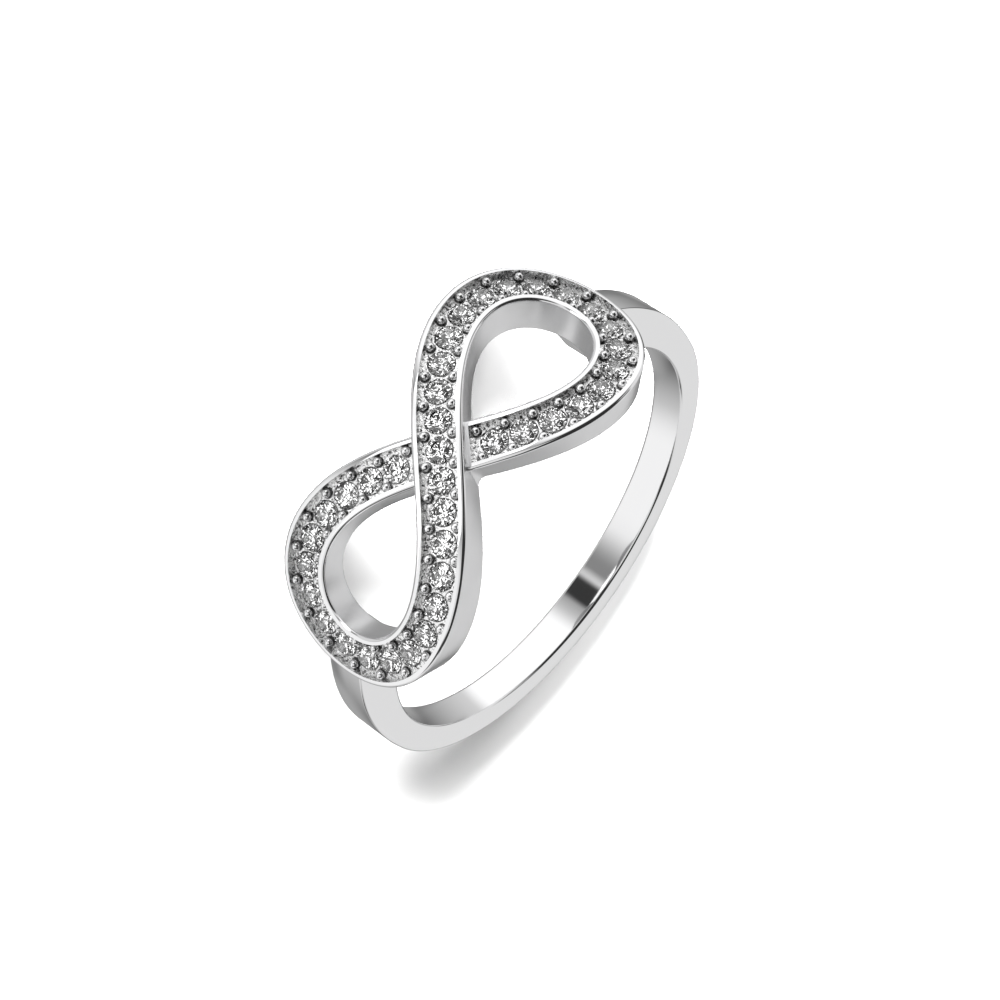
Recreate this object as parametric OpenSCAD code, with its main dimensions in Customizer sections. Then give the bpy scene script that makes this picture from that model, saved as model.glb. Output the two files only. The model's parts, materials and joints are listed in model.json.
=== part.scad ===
// A finger ring with a stone-set infinity figure, in cast silver, lying on its side.
// The ring is worked out upright: x runs along the head, y along the finger and z from
// the finger's axis up to the head. It is then laid down, so that +Z is up, the head
// faces -Y and the origin is at the middle of its footprint. Sizes are in millimetres.

/* [Band] */
// Inner radius of the band, where the finger goes
finger_r = 8.65; // [8.5:0.05:8.8]
// Width of the band along the finger
band_w = 1.52; // [1.4:0.02:1.7]
// Thickness of the band at its back
band_t = 1.2; // [1.1:0.05:1.3]
// Extra thickness of the shoulders where they meet the head
shoulder_rise = 1.15; // [1.0:0.05:1.2]
// Angle from the head at which the shoulders start to thicken
shoulder_from = 90; // [80:1:100]

/* [Head] */
// Distance from the finger's axis to the tops of the rims
head_r = 11.1; // [11.05:0.05:11.3]
// Depth of the metal below the tops of the rims
head_t = 1.35; // [1.3:0.05:1.4]
// Reach of the figure's middle line from the crossing, along the head
figure_reach = 8.08; // [8:0.01:8.15]
// How far the tips of the figure are pushed out
figure_push = 0.44; // [0.38:0.01:0.46]
// Reach of the middle line to each side of the head
figure_swing = 2.95; // [2.9:0.01:3]
// Width of each strand
strand_w = 1.9; // [1.84:0.02:1.92]
// Width of the rim along each edge of a strand
rim_w = 0.24; // [0.22:0.01:0.26]
// How much the upper strand stands up where it crosses, and how much the lower one sinks
crossing_lift = 0.27; // [0.15:0.01:0.3]

/* [Setting] */
// Depth of the channel below the tops of the rims
channel_t = 0.3; // [0.28:0.01:0.36]
// Width of the plain metal of the lower strand beside the upper one
plain_w = 0.1; // [0.06:0.01:0.14]
// Number of stones, an odd number with one in the middle of the crossing
stone_count = 37; // [35:2:37]
// Distance between the middles of two stones
stone_pitch = 1.124; // [1.115:0.001:1.128]
// Diameter of a stone at its girdle
stone_d = 1.0; // [0.96:0.01:1.01]
// Gap between a stone and its seat
seat_gap = 0.03; // [0.02:0.005:0.035]
// Diameter of the small beads of metal between the stones
grain_d = 0.34; // [0.3:0.01:0.35]
// Height of the middle of a bead above the channel's floor
grain_rise = 0.12; // [0.1:0.01:0.13]

/* [Hidden] */
// Pieces: the cast metal, and the stones in the order in which they stand on the strand
function two_digits(i) = str(i < 10 ? "0" : "", i);
function stone_name(i) = str("stone_", two_digits(i));
$fn = 64;

// Colours
silver = [0.86, 0.87, 0.88];
clear = [0.93, 0.96, 0.98];

// Figure: a closed line through the crossing at t = 90, the upper strand, and at t = 270,
// the lower one. It is drawn flat and then wrapped round the finger's axis.
figure_step = 2.5;
crossing_turns = 20;
strand_half = strand_w / 2;
channel_half = strand_half - rim_w;
head_low_r = head_r - head_t;
above_head = head_r + 2 * crossing_lift + channel_t;
sides_of_strand = [-1, 1];
function figure_x(t) = figure_reach * cos(t) + figure_push * cos(3 * t);
function figure_y(t) = figure_swing * sin(2 * t);
function figure_slope(t) = [-figure_reach * sin(t) - 3 * figure_push * sin(3 * t),
                            2 * figure_swing * cos(2 * t)];
function figure_right(t) = let (d = figure_slope(t)) [d[1], -d[0]] / norm(d);
function lift(t) = crossing_lift * sin(t);
function head_angle(x) = x / head_r * 180 / PI;
function wrapped(x, y, r) = [r * sin(head_angle(x)), y, r * cos(head_angle(x))];
function on_strand(t, across, r) =
    let (n = figure_right(t)) wrapped(figure_x(t) + across * n[0], figure_y(t) + across * n[1], r);

// Stones: equal steps along the middle line, counted from the middle of the crossing
measure_step = 1;
measured = [for (i = 0, l = 0; i <= 360 / measure_step;
                 i = i + 1,
                 l = l + norm([figure_x(i * measure_step) - figure_x((i - 1) * measure_step),
                               figure_y(i * measure_step) - figure_y((i - 1) * measure_step)]))
            [l, i * measure_step]];
figure_length = measured[len(measured) - 1][0];
length_to_crossing = figure_length / 4;
function wrap_length(l) = l < 0 ? l + figure_length : l > figure_length ? l - figure_length : l;
function turn_at(l) = lookup(wrap_length(l + length_to_crossing), measured);
stone_side = (stone_count - 1) / 2;
function stone_turn(i) = turn_at((i - 1 - stone_side) * stone_pitch);
girdle_h = 0.04;
crown_h = 0.15;
pavilion_h = 0.43;
girdle_above_floor = 0.06;
girdle_drop = channel_t - girdle_above_floor;
seat_tip_r = 0.02;

// Shares of a stone's radius at which its table, star and lower facets end
table_share = 0.56;
star_share = 0.8;
lower_share = 0.25;

// Rest: the ring lies on the lower edges of both lobes and on the back of the band
band_back_r = finger_r + band_t;
outline_turns = [0:figure_step:360];
function rest_angle(p) = atan2(-p[1] - band_w / 2, p[2] + band_back_r);
rest_tilt = max([for (t = outline_turns, side = sides_of_strand)
                 rest_angle(on_strand(t, side * strand_half, head_low_r))]);
rest_h = band_back_r * sin(rest_tilt) + band_w / 2 * cos(rest_tilt);
function laid_y(p) = -p[2] * cos(rest_tilt) + p[1] * sin(rest_tilt);
head_front = min([for (t = outline_turns, side = sides_of_strand)
                  laid_y(on_strand(t, side * strand_half, head_r + lift(t)))]);
band_back = band_back_r * cos(rest_tilt) + band_w / 2 * sin(rest_tilt);
middle_y = (head_front + band_back) / 2;

module laid_down() {
    translate([0, -middle_y, rest_h]) rotate([90 - rest_tilt, 0, 0]) children();
}

// Places its children on the strand, with z pointing away from the finger
module on_strand_at(t, across, r) {
    n = figure_right(t);
    rotate([0, head_angle(figure_x(t) + across * n[0]), 0])
        translate([0, figure_y(t) + across * n[1], r])
            children();
}

// Part of the figure's strand from turn t0 to turn t1. bottom and top are functions that
// give the radii of its lower and upper faces at a turn.
module strand(t0, t1, half, bottom, top) {
    steps = round((t1 - t0) / figure_step);
    function section(t) = [on_strand(t, -half, bottom(t)), on_strand(t, half, bottom(t)),
                           on_strand(t, half, top(t)), on_strand(t, -half, top(t))];
    points = [for (i = [0:steps]) each section(t0 + (t1 - t0) * i / steps)];
    sides = [for (i = [0:steps - 1], k = [0:3])
             let (a = 4 * i + k, b = 4 * i + (k + 1) % 4) each [[a, b, b + 4], [a, b + 4, a + 4]]];
    ends = [[3, 2, 1, 0], [for (k = [0:3]) 4 * steps + k]];
    polyhedron(points = points, faces = concat(sides, ends), convexity = 10);
}

// Both strands of the figure as plain blocks, before the channel is cut
module figure_blocks() {
    low = function(t) head_low_r;
    rims = function(t) head_r + lift(t);
    strand(0, 180, strand_half, low, rims);
    strand(180, 360, strand_half, low, rims);
}

// The channel that holds the stones, which the upper strand interrupts in the lower one
module channel() {
    floor_r = function(t) head_r + lift(t) - channel_t;
    low = function(t) head_low_r;
    above = function(t) above_head;
    strand(0, 180, channel_half, floor_r, above);
    difference() {
        strand(180, 360, channel_half, floor_r, above);
        strand(90 - crossing_turns, 90 + crossing_turns, strand_half + plain_w, low, above);
    }
}

// One stone's seat: a straight wall above a cone that follows the stone with a gap
module seat(i) {
    t = stone_turn(i);
    seat_r = stone_d / 2 + seat_gap;
    girdle_r = head_r + lift(t) - girdle_drop;
    on_strand_at(t, 0, girdle_r - girdle_h - seat_gap) {
        cylinder(r = seat_r, h = channel_t);
        translate([0, 0, -pavilion_h]) cylinder(r1 = seat_tip_r, r2 = seat_r, h = pavilion_h);
    }
}

// Beads of metal in pairs between the stones and at both ends of the row
module grains() {
    gap_to_rim = 0.02;
    grain_across = channel_half - grain_d / 2 - gap_to_rim;
    for (i = [0:stone_count], side = sides_of_strand) {
        t = turn_at((i - 0.5 - stone_side) * stone_pitch);
        on_strand_at(t, side * grain_across, head_r + lift(t) - channel_t + grain_rise)
            sphere(d = grain_d);
    }
}

// Band with shoulders that grow up to the head. Its ends stop under the tips of the
// figure, just behind the walls of the holes.
module band() {
    outline_step = 3;
    join_angle = 45.5;
    growth_power = 1.6;
    behind_hole = 0.04;
    into_head = 0.03;
    hole_angle = head_angle(figure_reach + figure_push - strand_half);
    end_x = head_low_r * sin(hole_angle) + behind_hole;
    end_z = sqrt(pow(head_low_r + into_head, 2) - end_x * end_x);
    function grown(a) = a > shoulder_from ? 0
        : pow((shoulder_from - a) / (shoulder_from - join_angle), growth_power);
    function band_r(a) = band_back_r + shoulder_rise * grown(min(a, 360 - a));
    steps = round((360 - 2 * join_angle) / outline_step);
    outer = [for (i = [0:steps]) let (a = join_angle + (360 - 2 * join_angle) * i / steps)
             band_r(a) * [sin(a), cos(a)]];
    rotate([90, 0, 0]) linear_extrude(height = band_w, center = true) difference() {
        polygon(concat(outer, [[-end_x, end_z], [-end_x, 0], [end_x, 0], [end_x, end_z]]));
        circle(r = finger_r);
    }
}

module ring_body() {
    color(silver) laid_down() {
        difference() {
            union() {
                figure_blocks();
                band();
            }
            channel();
            for (i = [1:stone_count]) seat(i);
        }
        grains();
    }
}

// Corner points of a round brilliant at one height, count corners on a radius
function corners(count, first, r, z) =
    [for (k = [0:count - 1]) let (a = first + k * 360 / count) [r * cos(a), r * sin(a), z]];

// Round brilliant with its girdle's top at z = 0: table, star, kite and girdle facets
// above, and long lower facets and eight mains down to the point
module brilliant() {
    r = stone_d / 2;
    table_r = table_share * r;
    star_r = star_share * r;
    lower_r = lower_share * r;
    half_step = 22.5;
    star_z = crown_h * (r - star_r * cos(half_step)) / (r - table_r);
    lower_z = -girdle_h - pavilion_h * (r - lower_r * cos(half_step)) / r;
    points = concat(corners(8, 0, table_r, crown_h), corners(8, half_step, star_r, star_z),
                    corners(16, 0, r, 0), corners(16, 0, r, -girdle_h),
                    corners(8, half_step, lower_r, lower_z), [[0, 0, -girdle_h - pavilion_h]]);
    table = [for (k = [7:-1:0]) k];
    function star(k) = 8 + k % 8;
    function top(k) = 16 + k % 16;
    function low(k) = 32 + k % 16;
    function main(k) = 48 + k % 8;
    point = 56;
    upper = [for (k = [0:7]) each [
        [(k + 1) % 8, star(k), k],
        [star(k + 7), k, star(k), top(2 * k)],
        [star(k), top(2 * k + 1), top(2 * k)],
        [star(k), top(2 * k + 2), top(2 * k + 1)]]];
    band_faces = [for (k = [0:15]) [top(k), top(k + 1), low(k + 1), low(k)]];
    lower = [for (k = [0:7]) each [
        [low(2 * k), low(2 * k + 1), main(k)],
        [low(2 * k + 1), low(2 * k + 2), main(k)],
        [low(2 * k), main(k), point, main(k + 7)]]];
    polyhedron(points = points, faces = concat([table], upper, band_faces, lower), convexity = 4);
}

module stone(i) {
    t = stone_turn(i);
    color(clear) laid_down()
        on_strand_at(t, 0, head_r + lift(t) - girdle_drop) brilliant();
}

ring_body();
for (i = [1:stone_count])
    stone(i);
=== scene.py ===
"""A finger ring with a stone-set infinity head, in polished silver, lying on its side."""

import json
import logging
import math
from bisect import bisect_right
from dataclasses import dataclass, field
from enum import Enum
from typing import Iterable

import bmesh
import bpy
from mathutils import Matrix, Vector

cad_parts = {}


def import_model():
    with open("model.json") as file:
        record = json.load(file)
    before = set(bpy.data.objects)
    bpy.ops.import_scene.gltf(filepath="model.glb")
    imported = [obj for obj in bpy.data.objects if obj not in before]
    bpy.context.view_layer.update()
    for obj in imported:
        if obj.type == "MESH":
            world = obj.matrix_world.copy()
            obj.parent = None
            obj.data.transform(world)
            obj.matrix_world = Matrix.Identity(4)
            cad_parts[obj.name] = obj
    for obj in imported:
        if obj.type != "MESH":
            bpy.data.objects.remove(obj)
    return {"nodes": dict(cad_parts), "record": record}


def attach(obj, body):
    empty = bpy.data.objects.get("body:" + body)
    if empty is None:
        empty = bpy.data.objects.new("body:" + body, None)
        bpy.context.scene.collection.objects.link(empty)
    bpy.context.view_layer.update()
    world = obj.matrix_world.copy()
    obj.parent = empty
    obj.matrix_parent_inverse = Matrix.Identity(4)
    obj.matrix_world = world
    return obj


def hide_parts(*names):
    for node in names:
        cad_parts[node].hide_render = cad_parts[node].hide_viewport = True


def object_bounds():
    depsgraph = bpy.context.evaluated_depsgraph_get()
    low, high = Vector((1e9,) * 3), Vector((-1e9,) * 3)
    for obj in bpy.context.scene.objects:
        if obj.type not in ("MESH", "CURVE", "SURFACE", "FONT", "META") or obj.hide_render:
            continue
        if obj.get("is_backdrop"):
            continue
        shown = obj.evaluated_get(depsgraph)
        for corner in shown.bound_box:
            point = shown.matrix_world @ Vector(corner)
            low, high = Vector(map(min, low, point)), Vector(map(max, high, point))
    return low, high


MM = 0.001
FULL_TURN = 360
HALF_TURN = 180
RIGHT_ANGLE = 90
ROOT = "root"
log = logging.getLogger("infinity_ring")


class Finish(Enum):
    """Place of each silver finish in the cast metal's list of materials."""

    POLISHED = 0
    GRAINED = 1
    SATIN = 2
    # Near-black silver of painted shade round the beads' bases.
    PAINTED_SHADE = 3


class Cut(Enum):
    """Ways of combining two closed bodies."""

    JOIN = "UNION"
    REMOVE = "DIFFERENCE"


class Shader:
    """A material under construction, with short calls for adding and linking nodes."""

    def __init__(self, name: str) -> None:
        """Starts a material with one Principled shader.

        Args:
            name: The material's name.
        """
        self.material = bpy.data.materials.new(name)
        self.material.use_nodes = True
        self.tree = self.material.node_tree
        self.tree.nodes.clear()
        self.surface = self.add("ShaderNodeBsdfPrincipled")
        output = self.add("ShaderNodeOutputMaterial")
        self.link(self.surface, "BSDF", output, "Surface")

    def add(self, kind: str, values: dict | None = None, **settings: object) -> bpy.types.Node:
        """Adds a node.

        Args:
            kind: The node's type.
            values: Values of its input sockets, by name or number.
            **settings: Its own properties.

        Returns:
            The new node.
        """
        node = self.tree.nodes.new(kind)
        for key, value in settings.items():
            setattr(node, key, value)
        for key, value in (values or {}).items():
            node.inputs[key].default_value = value
        return node

    def link(self, start: bpy.types.Node, out: str | int, end: bpy.types.Node, into: str | int) -> None:
        """Links one node's output to another's input.

        Args:
            start: The node that gives the value.
            out: Its output socket.
            end: The node that takes it.
            into: Its input socket.
        """
        self.tree.links.new(start.outputs[out], end.inputs[into])

    def noise(self, size: float, detail: float = 2.0) -> bpy.types.Node:
        """Adds a noise pattern fixed to the object.

        Args:
            size: Size of the pattern's largest features, in metres.
            detail: How many finer layers it has.

        Returns:
            The noise node.
        """
        place = self.add("ShaderNodeTexCoord")
        noise = self.add("ShaderNodeTexNoise", {"Scale": 1 / size, "Detail": detail})
        self.link(place, "Object", noise, "Vector")
        return noise

    def greys(self, noise: bpy.types.Node, levels: tuple[float, float],
              tones: tuple[float, float]) -> bpy.types.Node:
        """Turns a noise pattern into greys.

        Args:
            noise: The noise node.
            levels: The pattern's values between which the grey changes.
            tones: The greys at both levels.

        Returns:
            The ramp node.
        """
        ramp = self.add("ShaderNodeValToRGB")
        for point, level, tone in zip(ramp.color_ramp.elements, levels, tones):
            point.position = level
            point.color = (tone, tone, tone, 1)
        self.link(noise, "Fac", ramp, "Fac")
        return ramp

    def bump(self, noise: bpy.types.Node, depth: float) -> None:
        """Raises the surface by a noise pattern.

        Args:
            noise: The noise node.
            depth: Height of the pattern, in metres.
        """
        bump = self.add("ShaderNodeBump", {"Distance": depth})
        self.link(noise, "Fac", bump, "Height")
        self.link(bump, "Normal", self.surface, "Normal")


@dataclass(frozen=True)
class PolishedSilver:
    """Rhodium-bright silver with a trace of the polishing wheel in its gloss."""

    colour: tuple[float, float, float] = (0.93, 0.93, 0.935)
    smooth: float = 0.035
    worn: float = 0.075
    patch: float = 1.6 * MM
    levels: tuple[float, float] = (0.35, 0.75)
    waviness: float = 0.0006 * MM

    def material(self) -> bpy.types.Material:
        """Makes the finish.

        Returns:
            The material.
        """
        shader = Shader("polished_silver")
        shader.surface.inputs["Base Color"].default_value = (*self.colour, 1)
        shader.surface.inputs["Metallic"].default_value = 1.0
        patches = shader.noise(self.patch, detail=4.0)
        gloss = shader.greys(patches, self.levels, (self.smooth, self.worn))
        shader.link(gloss, "Color", shader.surface, "Roughness")
        shader.bump(patches, self.waviness)
        return shader.material


@dataclass(frozen=True)
class GrainedSilver:
    """Darkened silver of the channel's floor, left grainy by the graver."""

    dark: float = 0.06
    light: float = 1.0
    levels: tuple[float, float] = (0.35, 0.46)
    grain: float = 0.11 * MM
    twist: float = 0.5
    depth: float = 0.04 * MM
    roughness: float = 0.2

    def material(self) -> bpy.types.Material:
        """Makes the finish.

        Returns:
            The material.
        """
        shader = Shader("grained_silver")
        shader.surface.inputs["Metallic"].default_value = 1.0
        shader.surface.inputs["Roughness"].default_value = self.roughness
        grains = shader.noise(self.grain, detail=3.0)
        grains.inputs["Distortion"].default_value = self.twist
        tone = shader.greys(grains, self.levels, (self.dark, self.light))
        shader.link(tone, "Color", shader.surface, "Base Color")
        shader.bump(grains, self.depth)
        return shader.material


@dataclass(frozen=True)
class SatinSilver:
    """Silver of the figure's walls, which the polishing wheel reaches less well."""

    colour: tuple[float, float, float] = (0.82, 0.82, 0.825)
    smooth: float = 0.28
    worn: float = 0.38
    patch: float = 0.8 * MM
    levels: tuple[float, float] = (0.35, 0.75)

    def material(self) -> bpy.types.Material:
        """Makes the finish.

        Returns:
            The material.
        """
        shader = Shader("satin_silver")
        shader.surface.inputs["Base Color"].default_value = (*self.colour, 1)
        shader.surface.inputs["Metallic"].default_value = 1.0
        patches = shader.noise(self.patch, detail=4.0)
        gloss = shader.greys(patches, self.levels, (self.smooth, self.worn))
        shader.link(gloss, "Color", shader.surface, "Roughness")
        return shader.material


@dataclass(frozen=True)
class BeadShadeSilver:
    """Painted shade: near-black silver for the thin ring round the base of each bead, where shade falls."""

    # Greys of the painted shade round the beads.
    tones: tuple[float, float] = (0.05, 0.25)
    levels: tuple[float, float] = (0.35, 0.65)
    patch: float = 0.1 * MM
    roughness: float = 0.4

    def material(self) -> bpy.types.Material:
        """Makes the finish.

        Returns:
            The material.
        """
        shader = Shader("darkened_silver")
        shader.surface.inputs["Metallic"].default_value = 1.0
        shader.surface.inputs["Roughness"].default_value = self.roughness
        patches = shader.noise(self.patch)
        tone = shader.greys(patches, self.levels, self.tones)
        shader.link(tone, "Color", shader.surface, "Base Color")
        return shader.material


@dataclass(frozen=True)
class CubicZirconia:
    """Clear cut stones of high refraction, with faint clouds in them."""

    index: float = 2.16
    clouds: tuple[float, float] = (0.94, 1.0)
    levels: tuple[float, float] = (0.35, 0.65)
    cloud: float = 0.7 * MM

    def material(self) -> bpy.types.Material:
        """Makes the finish.

        Returns:
            The material.
        """
        shader = Shader("cubic_zirconia")
        clouds = shader.noise(self.cloud)
        tint = shader.greys(clouds, self.levels, self.clouds)
        shader.link(tint, "Color", shader.surface, "Base Color")
        shader.surface.inputs["Transmission Weight"].default_value = 1.0
        shader.surface.inputs["IOR"].default_value = self.index
        shader.surface.inputs["Roughness"].default_value = 0.0
        return shader.material


@dataclass(frozen=True)
class PalePaper:
    """White paper that the ring lies on."""

    white: float = 0.66
    roughness: float = 0.9

    def material(self) -> bpy.types.Material:
        """Makes the finish.

        Returns:
            The material.
        """
        shader = Shader("pale_paper")
        shader.surface.inputs["Base Color"].default_value = (self.white,) * 3 + (1,)
        shader.surface.inputs["Roughness"].default_value = self.roughness
        return shader.material


@dataclass(frozen=True)
class RingAxes:
    """The ring's own axes as it lies: x along the head, y along the finger, z up to the head."""

    middle: Vector
    finger: Vector
    finger_r: float
    band_w: float

    @classmethod
    def from_mount(cls, mount: dict) -> "RingAxes":
        """Reads the axes from the record's finger hole.

        Args:
            mount: The mount's entry in the record.

        Returns:
            The ring's axes.
        """
        sizes = mount["dims"]
        return cls(Vector(mount["pos_m"]), Vector(mount["axis"]), sizes["r_mm"], sizes["length_mm"])

    def matrix(self) -> Matrix:
        """Gives the way from the ring's own axes to the scene.

        Returns:
            The matrix from millimetres on the ring's axes to metres in the scene.
        """
        along = Vector((1, 0, 0))
        up = along.cross(self.finger)
        turned = Matrix((along, self.finger, up)).transposed().to_4x4()
        return Matrix.Translation(self.middle) @ turned @ Matrix.Scale(MM, 4)


@dataclass(frozen=True)
class InfinityLine:
    """Middle line of the figure, drawn flat and wrapped round the finger.

    At a turn t the flat line is at x = reach cos t + push cos 3t, y = swing sin 2t. The upper strand runs
    through the crossing at a turn of 90 and the lower one at 270. Sizes are in mm and turns in degrees.
    """

    reach: float = 8.08
    push: float = 0.44
    swing: float = 2.95
    radius: float = 11.1
    lift: float = 0.27
    upper_crossing: float = 90.0
    lower_crossing: float = 270.0

    def flat(self, turn: float) -> Vector:
        """Gives a point of the flat line.

        Args:
            turn: The turn along the line, in degrees.

        Returns:
            The point, in mm.
        """
        t = math.radians(turn)
        x = self.reach * math.cos(t) + self.push * math.cos(3 * t)
        return Vector((x, self.swing * math.sin(2 * t)))

    def heading(self, turn: float) -> Vector:
        """Gives the direction of the flat line.

        Args:
            turn: The turn along the line, in degrees.

        Returns:
            The unit vector ahead.
        """
        t = math.radians(turn)
        x = -self.reach * math.sin(t) - 3 * self.push * math.sin(3 * t)
        return Vector((x, 2 * self.swing * math.cos(2 * t))).normalized()

    def beside(self, turn: float, across: float) -> Vector:
        """Returns the flat point at a distance to the right of the line, in mm."""
        ahead = self.heading(turn)
        return self.flat(turn) + across * Vector((ahead.y, -ahead.x))

    def raised(self, turn: float) -> float:
        """Returns how much the strand stands up there, in mm."""
        return self.lift * math.sin(math.radians(turn))

    def wrap(self, flat: Vector, radius: float) -> Vector:
        """Wraps a flat point round the finger.

        Args:
            flat: The point on the flat drawing, in mm.
            radius: Its distance from the finger's axis once wrapped, in mm.

        Returns:
            The point on the ring's axes, in mm.
        """
        angle = flat.x / self.radius
        return Vector((radius * math.sin(angle), flat.y, radius * math.cos(angle)))

    def setting(self, turn: float, across: float, height: float) -> Matrix:
        """Gives a place on the strand with z pointing away from the finger.

        Args:
            turn: The turn along the line, in degrees.
            across: The distance to its right, in mm.
            height: The height above the tops of the rims, in mm.

        Returns:
            The matrix to the ring's axes, in mm.
        """
        flat = self.beside(turn, across)
        out = Vector((0, flat.y, self.radius + self.raised(turn) + height))
        return Matrix.Rotation(flat.x / self.radius, 4, "Y") @ Matrix.Translation(out)

    def steps(self, pitch: float, count: int) -> list[float]:
        """Finds equal steps along the line, with the middle one in the middle of the crossing.

        Args:
            pitch: The length of a step, in mm.
            count: The number of points.

        Returns:
            The points' turns, in degrees.
        """
        lengths = [0.0]
        for degree in range(FULL_TURN):
            lengths.append(lengths[-1] + (self.flat(degree + 1) - self.flat(degree)).length)
        whole = lengths[-1]
        turns = []
        for place in range(count):
            # The upper crossing is a quarter of the way along.
            along = (whole / 4 + (place - (count - 1) / 2) * pitch) % whole
            degree = bisect_right(lengths, along) - 1
            share = (along - lengths[degree]) / (lengths[degree + 1] - lengths[degree])
            turns.append(degree + share)
        return turns


class Body:
    """A closed body under construction: a bmesh in mm on the ring's axes."""

    # A face is a wall where its normal points away from the finger by less than this share.
    wall_slope: float = 0.3

    def __init__(self, finish: Finish = Finish.POLISHED, walls: Finish | None = None) -> None:
        """Starts an empty body.

        Args:
            finish: The finish of its faces.
            walls: The finish of the faces that run towards the finger, where it differs.
        """
        self.mesh = bmesh.new()
        self.finish = finish
        self.walls = walls

    def outward(self, face: bmesh.types.BMFace) -> Vector:
        """Returns the direction away from the finger's axis at a face."""
        middle = face.calc_center_median()
        return Vector((middle.x, 0, middle.z)).normalized()

    def outline(self, corners: list[tuple[Vector, float]], segments: int) -> bmesh.types.BMFace:
        """Draws a flat face with rounded corners, the first of the body.

        Args:
            corners: The corners, and the radius that each is rounded by.
            segments: The number of segments of a rounded corner.

        Returns:
            The face.
        """
        points = [self.mesh.verts.new(corner) for corner, _ in corners]
        self.mesh.faces.new(points)
        for point, (_, rounding) in zip(points, corners):
            if rounding:
                bmesh.ops.bevel(
                    self.mesh, geom=[point], offset=rounding, offset_type="OFFSET", segments=segments,
                    profile=0.5, affect="VERTICES", material=-1, clamp_overlap=False,
                )
        return next(iter(self.mesh.faces))

    def place(self, verts: Iterable[bmesh.types.BMVert], matrix: Matrix) -> None:
        """Moves some vertices by a matrix."""
        bmesh.ops.transform(self.mesh, matrix=matrix, verts=list(verts))

    def extrude(self, face: bmesh.types.BMFace, matrix: Matrix) -> bmesh.types.BMFace:
        """Extrudes a face and moves its copy.

        Args:
            face: The face, which stays as a cap if it is the whole body so far.
            matrix: The move of the copy.

        Returns:
            The copy.
        """
        is_cap = all(len(edge.link_faces) == 1 for edge in face.edges)
        made = bmesh.ops.extrude_face_region(self.mesh, geom=[face])["geom"]
        if not is_cap:
            bmesh.ops.delete(self.mesh, geom=[face], context="FACES_ONLY")
        self.place((part for part in made if isinstance(part, bmesh.types.BMVert)), matrix)
        return next(part for part in made if isinstance(part, bmesh.types.BMFace))

    def object(self, name: str, materials: list[bpy.types.Material]) -> bpy.types.Object:
        """Makes the body an object in the scene.

        Args:
            name: The object's name.
            materials: The silver finishes, in the order of Finish.

        Returns:
            The object, still in mm on the ring's axes.
        """
        bmesh.ops.recalc_face_normals(self.mesh, faces=self.mesh.faces)
        if self.mesh.calc_volume(signed=True) < 0:
            bmesh.ops.reverse_faces(self.mesh, faces=self.mesh.faces)
        for face in self.mesh.faces:
            face.material_index = self.finish.value
            if self.walls and abs(face.normal.dot(self.outward(face))) < self.wall_slope:
                face.material_index = self.walls.value
            face.smooth = True
        data = bpy.data.meshes.new(name)
        self.mesh.to_mesh(data)
        self.mesh.free()
        for material in materials:
            data.materials.append(material)
        piece = bpy.data.objects.new(name, data)
        bpy.context.scene.collection.objects.link(piece)
        return piece


def combine(piece: bpy.types.Object, tool: bpy.types.Object, cut: Cut) -> None:
    """Joins a tool to a piece or cuts it out, and deletes the tool.

    Args:
        piece: The closed body that changes.
        tool: The closed body that is joined or removed.
        cut: Which of the two.
    """
    change = piece.modifiers.new("combine", "BOOLEAN")
    change.solver = "MANIFOLD"
    change.operation = cut.value
    change.object = tool
    graph = bpy.context.evaluated_depsgraph_get()
    result = bpy.data.meshes.new_from_object(piece.evaluated_get(graph), depsgraph=graph)
    piece.modifiers.clear()
    before = piece.data
    piece.data = result
    for old in (before, tool.data):
        bpy.data.meshes.remove(old)


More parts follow.
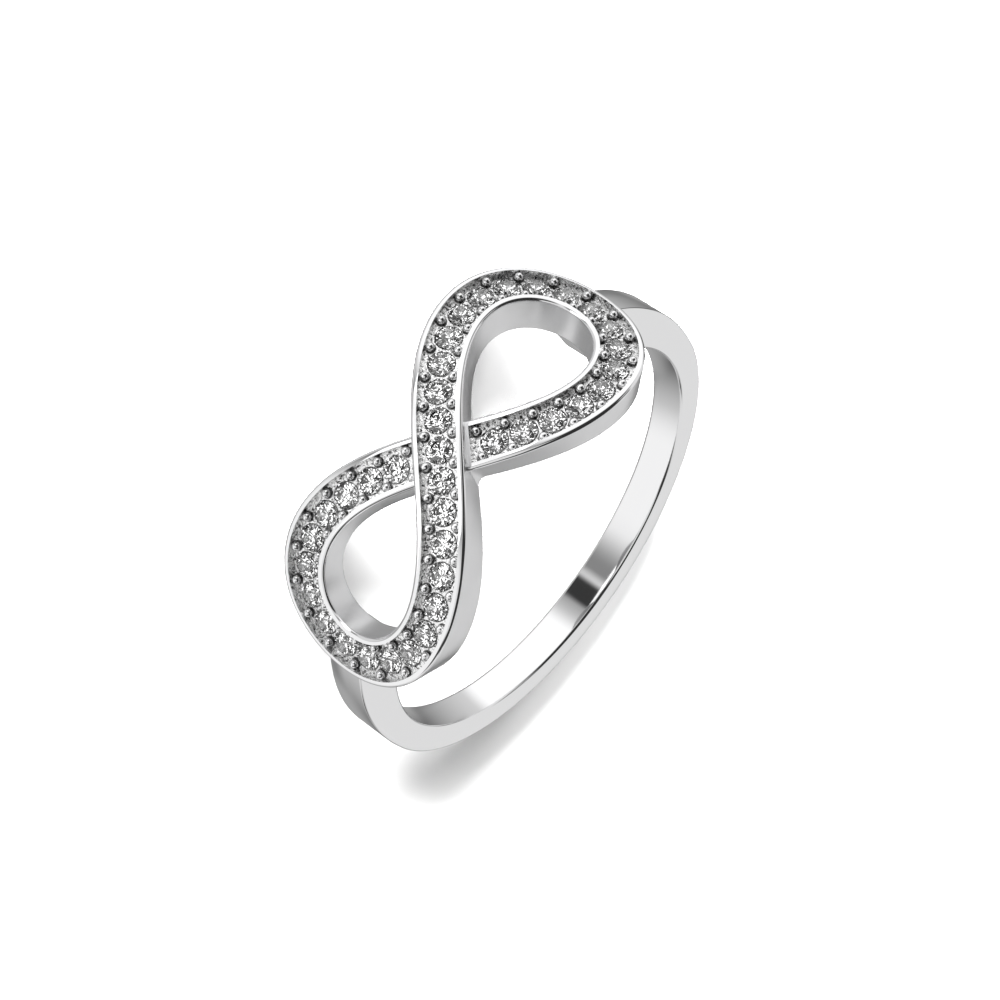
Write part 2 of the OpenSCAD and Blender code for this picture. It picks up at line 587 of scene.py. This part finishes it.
@dataclass
class Strand:
    """Straight bars of the figure's strand, bent along its line. Sizes are in mm and turns in degrees."""

    line: InfinityLine
    half: float = 0.95
    depth: float = 1.35
    rim_round: float = 0.13
    low_round: float = 0.08
    corner_segments: int = 7
    step: float = 0.5
    fillet: float = 0.4
    fillet_span: float = 45.0
    tuck_depth: float = 0.06
    tuck_span: float = 15.0

    def bar(self, turns: tuple[float, float], half: float, low: float, high: float,
            rounds: tuple[float, float], finish: Finish = Finish.POLISHED,
            walls: Finish | None = None) -> Body:
        """Makes a bar from a rounded section, with x as its turn, y across and z its height.

        Args:
            turns: The turns where it starts and ends, in degrees.
            half: Half its width, in mm.
            low: Height of its lower face, in mm.
            high: Height of its upper face, in mm.
            rounds: Radii of its lower and upper edges, in mm.
            finish: The finish of its faces.
            walls: The finish of its walls, where it differs.

        Returns:
            The straight bar.
        """
        body = Body(finish, walls)
        start, end = turns
        corners = [
            (Vector((start, side * half, height)), rounding)
            for side, height, rounding in (
                (-1, low, rounds[0]), (1, low, rounds[0]), (1, high, rounds[1]), (-1, high, rounds[1]),
            )
        ]
        face = body.outline(corners, self.corner_segments)
        body.extrude(face, Matrix.Translation((end - start, 0, 0)))
        long_edges = [
            edge for edge in body.mesh.edges if abs(edge.verts[0].co.x - edge.verts[1].co.x) > self.step
        ]
        cuts = round((end - start) / self.step) - 1
        bmesh.ops.subdivide_edges(body.mesh, edges=long_edges, cuts=cuts)
        return body

    def bend(self, body: Body) -> Body:
        """Bends a bar along the figure and gives the crossing's outer corners their fillets.

        Args:
            body: The straight bar, which changes.

        Returns:
            The same body.
        """
        for vert in body.mesh.verts:
            turn, across, height = vert.co
            low = height < -self.depth / 2
            if low:
                across += self.flare(turn, across)
            lift = self.tuck(turn) if low else self.line.raised(turn)
            flat = self.line.beside(turn, across)
            vert.co = self.line.wrap(flat, self.line.radius + height + lift)
        return body

    def tuck(self, turn: float) -> float:
        """Gives how far the lower strand's underside draws back behind the upper one's at the crossing.

        Args:
            turn: The turn along the line, in degrees.

        Returns:
            The distance, in mm.
        """
        away = abs(turn - self.line.lower_crossing) / self.tuck_span
        return self.tuck_depth * (1 - away ** 2) ** 2 if away < 1 else 0.0

    def flare(self, turn: float, across: float) -> float:
        """Gives how far the lower strand's outer wall swings out to meet the upper strand.

        Args:
            turn: The turn along the line, in degrees.
            across: The distance to its right, in mm.

        Returns:
            The distance that the wall moves, in mm.
        """
        past = turn - self.line.lower_crossing
        if abs(past) > self.fillet_span or past * across <= 0 or abs(across) < self.half / 2:
            return 0.0
        upper = self.line.heading(self.line.upper_crossing)
        lower = self.line.heading(self.line.lower_crossing)
        sine = abs(upper.cross(lower))
        cosine = abs(upper.dot(lower))
        wall = self.line.beside(turn, math.copysign(self.half, across))
        along = (abs(upper.cross(wall)) - self.half) / sine
        tangent = self.fillet * (1 - cosine) / sine
        along = max(along, -cosine * tangent)
        if along >= tangent:
            return 0.0
        rise = self.fillet - math.sqrt(max(self.fillet ** 2 - (tangent - along) ** 2, 0))
        return math.copysign(rise, across)

    def half_loop(self, first: float) -> Body:
        """Makes half of the figure, from one lobe's tip to the other's.

        Args:
            first: The turn of its first tip, in degrees.

        Returns:
            The bent bar.
        """
        rounds = (self.low_round, self.rim_round)
        bar = self.bar((first, first + HALF_TURN), self.half, -self.depth, 0.0, rounds, walls=Finish.SATIN)
        return self.bend(bar)


@dataclass
class Channel:
    """The channel sunk in the strands, which stops on both sides of the upper strand. Sizes are in mm.

    Its ends run along the upper strand and leave a plain strip of metal beside it. To do so they lean, over
    lean_over degrees of turn. The body that cuts the channel stands clear above the rims.
    """

    strand: Strand
    rim_w: float = 0.24
    depth: float = 0.3
    clear: float = 1.0
    plain: float = 0.1
    lean_over: float = 6.0

    def cutter(self) -> Body:
        """Makes the body that is removed: one long bar from the crossing round to the crossing.

        Returns:
            The bent bar.
        """
        line = self.strand.line
        upper = line.heading(line.upper_crossing)
        lower = line.heading(line.lower_crossing)
        half = self.strand.half - self.rim_w
        stop_length = (self.strand.half + self.plain) / abs(upper.cross(lower))
        degree = (line.flat(line.lower_crossing + 1) - line.flat(line.lower_crossing)).length
        stop = stop_length / degree
        lean = upper.dot(lower) / upper.cross(lower) / degree
        start, end = line.lower_crossing + stop, line.lower_crossing + FULL_TURN - stop
        bar = self.strand.bar((start, end), half, -self.depth, self.clear, (0.0, 0.0), Finish.GRAINED)
        for vert in bar.mesh.verts:
            near_end = max(start + self.lean_over - vert.co.x, vert.co.x - end + self.lean_over, 0)
            vert.co.x += lean * vert.co.y * near_end / self.lean_over
        return self.strand.bend(bar)


@dataclass
class Setting:
    """The seats of the stones and the beads of metal between them. Sizes are in mm."""

    line: InfinityLine
    channel: Channel
    stones: int = 37
    pitch: float = 1.124
    stone_d: float = 1.0
    girdle_over_floor: float = 0.06
    girdle_h: float = 0.04
    pavilion_h: float = 0.43
    seat_gap: float = 0.03
    tip_r: float = 0.02
    bead_d: float = 0.34
    bead_rise: float = 0.12
    bead_to_rim: float = 0.02
    shade_ring_d: float = 0.42
    shade_ring_h: float = 0.01
    seat_segments: int = 48
    shade_ring_segments: int = 24
    bead_subdivisions: int = 3

    def seats(self) -> Body:
        """Makes the bodies that are removed: under each stone a wall above a cone.

        Returns:
            All of them as one body.
        """
        body = Body(Finish.GRAINED)
        radius = self.stone_d / 2 + self.seat_gap
        shelf = self.girdle_over_floor - self.channel.depth - self.girdle_h - self.seat_gap
        down = Matrix.Translation((0, 0, -self.channel.depth))
        tip = Matrix.Translation((0, 0, -self.pavilion_h)) @ Matrix.Scale(self.tip_r / radius, 4)
        for turn in self.line.steps(self.pitch, self.stones):
            top = self.line.setting(turn, 0.0, shelf + self.channel.depth)
            made = bmesh.ops.create_circle(
                body.mesh, cap_ends=True, radius=radius, segments=self.seat_segments, matrix=top)
            wall = body.extrude(made["verts"][0].link_faces[0], top @ down @ top.inverted())
            bottom = self.line.setting(turn, 0.0, shelf)
            body.extrude(wall, bottom @ tip @ bottom.inverted())
        return body

    def bead_places(self, height: float) -> list[Matrix]:
        """Gives the places of the beads, in pairs between the stones and at both ends of the row.

        Args:
            height: Height of the places above the channel's floor, in mm.

        Returns:
            The matrices to the ring's axes, in mm.
        """
        across = self.channel.strand.half - self.channel.rim_w - self.bead_d / 2 - self.bead_to_rim
        turns = self.line.steps(self.pitch, self.stones + 1)
        return [
            self.line.setting(turn, side * across, height - self.channel.depth)
            for turn in turns for side in (-1, 1)
        ]

    def beads(self) -> Body:
        """Makes the beads.

        Returns:
            All of them as one body.
        """
        body = Body()
        for place in self.bead_places(self.bead_rise):
            bmesh.ops.create_icosphere(
                body.mesh, subdivisions=self.bead_subdivisions, radius=self.bead_d / 2, matrix=place)
        return body

    def cups(self) -> Body:
        """Makes the rings of painted shade round the bases of the beads: thin discs on the channel's floor,
        in the near-black finish.

        Returns:
            All of them as one body.
        """
        # The discs carry the painted shade round each bead's base.
        body = Body(Finish.PAINTED_SHADE)
        for place in self.bead_places(0.0):
            bmesh.ops.create_cone(
                body.mesh, cap_ends=True, segments=self.shade_ring_segments, radius1=self.shade_ring_d / 2,
                radius2=self.shade_ring_d / 2, depth=2 * self.shade_ring_h, matrix=place)
        return body


@dataclass
class Band:
    """The band round the finger, whose shoulders grow up to the head.

    They grow by the rise between the angles grow_from and join, counted from the middle of the head, and
    then run in under the head. Sizes are in mm and angles in degrees.
    """

    axes: RingAxes
    line: InfinityLine
    strand: Strand
    thickness: float = 1.2
    rise: float = 1.15
    grow_from: float = 90.0
    join: float = 45.5
    growth_power: float = 1.6
    behind_hole: float = 0.04
    into_head: float = 0.03
    inner_round: float = 0.12
    outer_round: float = 0.07
    edge_segments: int = 5
    step: float = 1.0

    def outer_r(self, angle: float) -> float:
        """Gives the outer radius of the band.

        Args:
            angle: The angle from the middle of the head, in degrees.

        Returns:
            The radius, in mm.
        """
        back = self.axes.finger_r + self.thickness
        if angle >= self.grow_from:
            return back
        if angle >= self.join:
            return back + self.rise * self.grown(angle)
        under = self.line.radius - self.strand.depth + self.into_head
        share = (angle - self.end_angle()) / (self.join - self.end_angle())
        return under + share * (back + self.rise - under)

    def grown(self, angle: float) -> float:
        """Returns the shoulder's share of its full rise at an angle from the head."""
        return ((self.grow_from - angle) / (self.grow_from - self.join)) ** self.growth_power

    def end_x(self) -> float:
        """Returns how far from the middle the band's ends stop, in mm."""
        hole = (self.line.reach + self.line.push - self.strand.half) / self.line.radius
        return (self.line.radius - self.strand.depth) * math.sin(hole) + self.behind_hole

    def end_angle(self) -> float:
        """Returns the angle from the head at which the band's ends meet it, in degrees."""
        under = self.line.radius - self.strand.depth + self.into_head
        return math.degrees(math.asin(self.end_x() / under))

    def inner_r(self, angle: float) -> float:
        """Returns the inner radius at an angle from the head, in mm."""
        return max(self.axes.finger_r, self.end_x() / math.sin(math.radians(min(angle, RIGHT_ANGLE))))

    def body(self) -> Body:
        """Makes the band: its section spun round the finger, and then given its shoulders.

        Returns:
            The band.
        """
        body = Body()
        inner, outer, half = self.axes.finger_r, self.axes.finger_r + self.thickness, self.axes.band_w / 2
        corners = [
            (Vector((0, across, out)), rounding)
            for across, out, rounding in (
                (-half, inner, self.inner_round), (half, inner, self.inner_round),
                (half, outer, self.outer_round), (-half, outer, self.outer_round),
            )
        ]
        face = body.outline(corners, self.edge_segments)
        first = self.end_angle()
        turned = Matrix.Rotation(math.radians(first), 4, "Y")
        body.place(face.verts, turned)
        sweep = FULL_TURN - 2 * first
        bmesh.ops.spin(
            body.mesh, geom=[face, *face.verts, *face.edges], cent=(0, 0, 0), axis=(0, 1, 0),
            angle=math.radians(sweep), steps=round(sweep / self.step), use_duplicate=False)
        for vert in body.mesh.verts:
            angle = math.degrees(math.atan2(vert.co.x, vert.co.z)) % FULL_TURN
            angle = max(min(angle, FULL_TURN - angle), first)
            radius = math.hypot(vert.co.x, vert.co.z)
            share = (radius - inner) / self.thickness
            low, high = self.inner_r(angle), self.outer_r(angle)
            factor = (low + share * (high - low)) / radius
            vert.co.x *= factor
            vert.co.z *= factor
        return body


@dataclass
class CastRing:
    """The cast metal: both strands of the figure, the band, the channel, the seats and the beads."""

    axes: RingAxes
    line: InfinityLine = field(default_factory=InfinityLine)
    sharp_from: float = 30.0

    def build(self) -> bpy.types.Object:
        """Builds and dresses the metal as one closed piece.

        Returns:
            The piece, in metres where the CAD has it.
        """
        finishes = (PolishedSilver(), GrainedSilver(), SatinSilver(), BeadShadeSilver())
        materials = [finish.material() for finish in finishes]
        strand = Strand(self.line)
        channel = Channel(strand)
        setting = Setting(self.line, channel)
        ring = strand.half_loop(0).object("cast_ring", materials)
        combine(ring, strand.half_loop(HALF_TURN).object("lower_strand", materials), Cut.JOIN)
        combine(ring, Band(self.axes, self.line, strand).body().object("band", materials), Cut.JOIN)
        combine(ring, channel.cutter().object("channel", materials), Cut.REMOVE)
        # Rings of painted shade round the beads' bases, joined to the channel's floor.
        combine(ring, setting.cups().object("cups", materials), Cut.JOIN)
        combine(ring, setting.seats().object("seats", materials), Cut.REMOVE)
        combine(ring, setting.beads().object("beads", materials), Cut.JOIN)
        ring.data.transform(self.axes.matrix())
        ring.data.set_sharp_from_angle(angle=math.radians(self.sharp_from))
        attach(ring, ROOT)
        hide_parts("ring_body")
        return ring


@dataclass
class StoneRow:
    """The stones as they are in the frame, each a cut brilliant in its own seat."""

    nodes: dict[str, bpy.types.Object]
    prefix: str = "stone_"

    def dress(self) -> list[bpy.types.Object]:
        """Gives each stone its material.

        Returns:
            The stones.
        """
        material = CubicZirconia().material()
        stones = [piece for name, piece in sorted(self.nodes.items()) if name.startswith(self.prefix)]
        for stone in stones:
            stone.data.materials.clear()
            stone.data.materials.append(material)
        return stones


@dataclass(frozen=True)
class Sun:
    """A broad distant light, with its angles in degrees as for a panel."""

    name: str
    strength: float
    width: float
    azimuth: float
    elevation: float


@dataclass(frozen=True)
class Panel:
    """A soft box or a dark flag, seen from the ring by its angles in degrees.

    Its azimuth is counted from the front, where the camera is, towards the ring's right.
    """

    name: str
    light: float
    azimuth: float
    half_width: float
    side_blur: float
    elevation: float
    half_height: float
    edge_blur: float


@dataclass(frozen=True)
class Lamps:
    """Many small lamps all round, which the stones break into flashes, and one in front."""

    light: float = 2.3
    between: float = 0.08
    spread: float = 2.2
    size: float = 0.43
    blur: float = 0.03
    front: Panel = Panel("front_lamp", 2.3, -3, 9, 2, 33, 8, 2)


class LightTent:
    """A plain tent of light round the ring, with panels hung in it one over the other."""

    def __init__(self, tree: bpy.types.NodeTree, plain: float) -> None:
        """Starts a tent that is evenly lit.

        Args:
            tree: The world's node tree.
            plain: The tent's own light.
        """
        self.tree = tree
        self.light = self.value(plain)
        self.place = tree.nodes.new("ShaderNodeTexCoord").outputs["Generated"]
        parts = tree.nodes.new("ShaderNodeSeparateXYZ")
        tree.links.new(self.place, parts.inputs[0])
        back = self.calculate("MULTIPLY", parts.outputs["Y"], -1.0)
        self.azimuth = self.calculate("DEGREES", self.calculate("ARCTAN2", parts.outputs["X"], back))
        self.elevation = self.calculate("DEGREES", self.calculate("ARCSINE", parts.outputs["Z"]))

    def value(self, number: float) -> bpy.types.NodeSocket:
        """Adds a fixed number.

        Args:
            number: The number.

        Returns:
            The socket that gives it.
        """
        node = self.tree.nodes.new("ShaderNodeValue")
        node.outputs[0].default_value = number
        return node.outputs[0]

    def calculate(self, operation: str, *values: "bpy.types.NodeSocket | float") -> bpy.types.NodeSocket:
        """Adds a calculation.

        Args:
            operation: The kind of calculation.
            *values: Its sockets or numbers.

        Returns:
            The socket with the result.
        """
        node = self.tree.nodes.new("ShaderNodeMath")
        node.operation = operation
        for socket, value in zip(node.inputs, values):
            if isinstance(value, bpy.types.NodeSocket):
                self.tree.links.new(value, socket)
            else:
                socket.default_value = value
        return node.outputs[0]

    def inside(self, away: bpy.types.NodeSocket, half: float, blur: float) -> bpy.types.NodeSocket:
        """Gives 1 within a panel's half size and 0 outside its blurred edge.

        Args:
            away: The angle from the panel's middle.
            half: The half size.
            blur: How far the edge is blurred to each side of it.

        Returns:
            The socket with the result.
        """
        node = self.tree.nodes.new("ShaderNodeMapRange")
        node.interpolation_type = "SMOOTHSTEP"
        self.tree.links.new(away, node.inputs["Value"])
        ends = {"From Min": half - blur, "From Max": half + blur, "To Min": 1, "To Max": 0}
        for key, number in ends.items():
            node.inputs[key].default_value = number
        return node.outputs[0]

    def cover(self, panel: Panel) -> bpy.types.NodeSocket:
        """Gives 1 where a panel hangs and 0 beside it.

        Args:
            panel: The panel.

        Returns:
            The socket with the result.
        """
        over = self.calculate("ABSOLUTE", self.calculate("SUBTRACT", self.elevation, panel.elevation))
        cover = self.inside(over, panel.half_height, panel.edge_blur)
        if panel.half_width < HALF_TURN:
            turn = self.calculate("SUBTRACT", self.azimuth, panel.azimuth)
            beside = self.calculate("ABSOLUTE", self.calculate("WRAP", turn, HALF_TURN, -HALF_TURN))
            cover = self.calculate("MULTIPLY", cover, self.inside(beside, panel.half_width, panel.side_blur))
        cover.node.label = panel.name
        return cover

    def mixed(self, first: bpy.types.NodeSocket, second: "bpy.types.NodeSocket | float",
              share: bpy.types.NodeSocket) -> bpy.types.NodeSocket:
        """Blends two lights.

        Args:
            first: The light at a share of 0.
            second: The light at a share of 1.
            share: The share of the second.

        Returns:
            The socket with the blend.
        """
        change = self.calculate("SUBTRACT", second, first)
        return self.calculate("MULTIPLY_ADD", change, share, first)

    def sparkle(self, lamps: Lamps) -> bpy.types.NodeSocket:
        """Gives the many small lamps that make cut stones flash.

        Args:
            lamps: Their brightness and spread.

        Returns:
            The socket with their light.
        """
        cells = self.tree.nodes.new("ShaderNodeTexVoronoi")
        cells.inputs["Scale"].default_value = lamps.spread
        self.tree.links.new(self.place, cells.inputs["Vector"])
        lit = self.inside(cells.outputs["Distance"], lamps.size, lamps.blur)
        small = self.mixed(self.value(lamps.between), lamps.light, lit)
        return self.mixed(small, lamps.front.light, self.cover(lamps.front))

    def hang(self, panels: Iterable[Panel], lamps: Lamps) -> None:
        """Hangs the panels, each over those before it, and lights the world.

        The light that passes through the stones comes from the small lamps instead.

        Args:
            panels: The panels, from the one behind to the one in front.
            lamps: The small lamps for the stones.
        """
        for panel in panels:
            self.light = self.mixed(self.light, panel.light, self.cover(panel))
        through = self.tree.nodes.new("ShaderNodeLightPath").outputs["Is Transmission Ray"]
        self.light = self.mixed(self.light, self.sparkle(lamps), through)
        self.tree.links.new(self.light, self.tree.nodes["Background"].inputs["Color"])


@dataclass
class Studio:
    """A pale floor, soft light and the camera. Sizes are in metres and angles in degrees."""

    floor_size: float = 4.0
    floor_cells: int = 8
    azimuth: float = -3.43
    elevation: float = 33.43
    roll: float = 123.406
    distance: float = 87.852 * MM
    aim: Vector = field(default_factory=lambda: Vector((-0.2378, -1.3968, 1.8091)) * MM)
    field_of_view: float = 24.89
    suns: tuple[Sun, ...] = (
        Sun("key_light", 104.0, 32, -20, 6),
        Sun("side_light", 16.0, 32, -70, 10),
    )
    fill_size: tuple[float, float] = (24 * MM, 64 * MM)
    fill_middle: Vector = field(default_factory=lambda: Vector((0, -48, 0.05)) * MM)
    fill_light: float = 1.0
    tent_light: float = 0.76
    lamps: Lamps = Lamps()
    panels: tuple[Panel, ...] = (
        Panel("under_table", 0.34, 0, 180, 0, -90, 57, 2.5),
        Panel("front_table", 0.7, -10, 70, 15, -52, 19, 5),
        Panel("low_back_flag", 0.08, 180, 52, 48, -20, 18, 9),
        Panel("shoulder_glow", 0.38, 172, 34, 8, -35, 4, 3),
        Panel("back_shade", 0.45, 150, 10, 6, 14, 12, 5),
        Panel("left_soft_box", 1.1, -61, 36, 6, -14, 20, 5),
        Panel("right_soft_box", 0.95, 62, 38, 16, -14, 20, 5),
        Panel("front_gap", 0.25, 0, 19, 11, -15, 20, 5),
        Panel("gap_glow", 0.65, 0, 2.5, 2.5, -15, 18, 5),
        Panel("front_flag", 0.04, -8, 6, 2, -15, 20, 5),
        Panel("dark_room", 0.03, -38, 45, 8, 46, 29, 6),
        Panel("right_gap", 0.05, 80, 18, 6, 33, 28, 5),
        Panel("left_low_flag", 0.03, -128, 13, 5, -8, 11, 5),
        Panel("left_high_flag", 0.03, -116, 16, 4, 48, 9, 3),
        Panel("right_high_flag", 0.03, 100, 18, 4, 50, 9, 3),
        Panel("back_slit", 0.03, 140, 6, 3, 10, 8, 3),
        Panel("dark_ceiling", 0.03, 0, 180, 0, 90, 39, 4),
    )

    def floor(self) -> bpy.types.Object:
        """Lays the floor and marks it as no part of the ring.

        Returns:
            The floor.
        """
        mesh = bmesh.new()
        bmesh.ops.create_grid(
            mesh, x_segments=self.floor_cells, y_segments=self.floor_cells, size=self.floor_size / 2)
        data = bpy.data.meshes.new("floor")
        mesh.to_mesh(data)
        mesh.free()
        data.materials.append(PalePaper().material())
        floor = bpy.data.objects.new("floor", data)
        bpy.context.scene.collection.objects.link(floor)
        floor.visible_glossy = False
        floor.visible_transmission = False
        floor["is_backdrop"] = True
        return floor

    def camera(self) -> bpy.types.Object:
        """Sets the camera at the photograph's angle to the ring.

        Returns:
            The camera.
        """
        data = bpy.data.cameras.new("camera")
        data.angle = math.radians(self.field_of_view)
        data.clip_start = MM
        camera = bpy.data.objects.new("camera", data)
        level = Matrix.Rotation(math.radians(-self.azimuth), 4, "Z")
        tilted = level @ Matrix.Rotation(math.radians(RIGHT_ANGLE - self.elevation), 4, "X")
        rolled = tilted @ Matrix.Rotation(math.radians(self.roll), 4, "Z")
        back = Matrix.Translation((0, 0, self.distance))
        camera.matrix_world = Matrix.Translation(self.aim) @ rolled @ back
        bpy.context.scene.collection.objects.link(camera)
        bpy.context.scene.camera = camera
        return camera

    def sunlight(self, sun: Sun) -> bpy.types.Object:
        """Adds a broad light that only the floor takes, for the ring's shadow.

        Args:
            sun: Its size and direction.

        Returns:
            The light.
        """
        data = bpy.data.lights.new(sun.name, "SUN")
        data.energy = sun.strength
        data.angle = math.radians(sun.width)
        light = bpy.data.objects.new(sun.name, data)
        turned = Matrix.Rotation(math.radians(sun.azimuth), 4, "Z")
        light.matrix_world = turned @ Matrix.Rotation(math.radians(RIGHT_ANGLE - sun.elevation), 4, "X")
        light.visible_glossy = False
        light.visible_transmission = False
        bpy.context.scene.collection.objects.link(light)
        return light

    def front_fill(self, metal: bpy.types.Object) -> bpy.types.Object:
        """Lays a weak light panel before the ring for the tops of its rims to mirror.

        Args:
            metal: The only piece that takes its light.

        Returns:
            The light.
        """
        data = bpy.data.lights.new("front_fill", "AREA")
        data.shape = "RECTANGLE"
        data.size, data.size_y = self.fill_size
        data.energy = self.fill_light * math.pi * data.size * data.size_y
        light = bpy.data.objects.new("front_fill", data)
        light.matrix_world = Matrix.Translation(self.fill_middle) @ Matrix.Rotation(math.pi, 4, "X")
        light.visible_camera = False
        lit = bpy.data.collections.new("front_fill_lights")
        lit.objects.link(metal)
        light.light_linking.receiver_collection = lit
        bpy.context.scene.collection.objects.link(light)
        return light

    def surroundings(self) -> bpy.types.World:
        """Puts the soft boxes and dark flags round the ring.

        Returns:
            The world that holds them.
        """
        world = bpy.data.worlds.new("studio")
        world.use_nodes = True
        LightTent(world.node_tree, self.tent_light).hang(self.panels, self.lamps)
        bpy.context.scene.world = world
        return world

    def build(self, metal: bpy.types.Object) -> None:
        """Sets up the whole studio.

        Args:
            metal: The cast ring.
        """
        bpy.context.scene.view_settings.view_transform = "Standard"
        self.camera()
        self.floor()
        for sun in self.suns:
            self.sunlight(sun)
        self.front_fill(metal)
        self.surroundings()


def corners(bounds: tuple[Vector, Vector]) -> list[list[float]]:
    """Turns a pair of corners into plain lists.

    Args:
        bounds: The lowest and the highest corner.

    Returns:
        Both corners as lists of three numbers.
    """
    return [list(corner) for corner in bounds]


def main() -> None:
    """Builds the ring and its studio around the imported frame."""
    logging.basicConfig(level=logging.INFO, format="%(message)s")
    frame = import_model()
    cad_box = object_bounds()
    axes = RingAxes.from_mount(frame["record"]["mounts"][0])
    ring = CastRing(axes).build()
    log.info("cast_ring: %d vertices, %d faces", len(ring.data.vertices), len(ring.data.polygons))
    stones = StoneRow(frame["nodes"]).dress()
    log.info("stones: %d", len(stones))
    Studio().build(ring)
    {"cad": corners(cad_box), "visual": corners(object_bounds())}


if __name__ == "__main__":
    main()
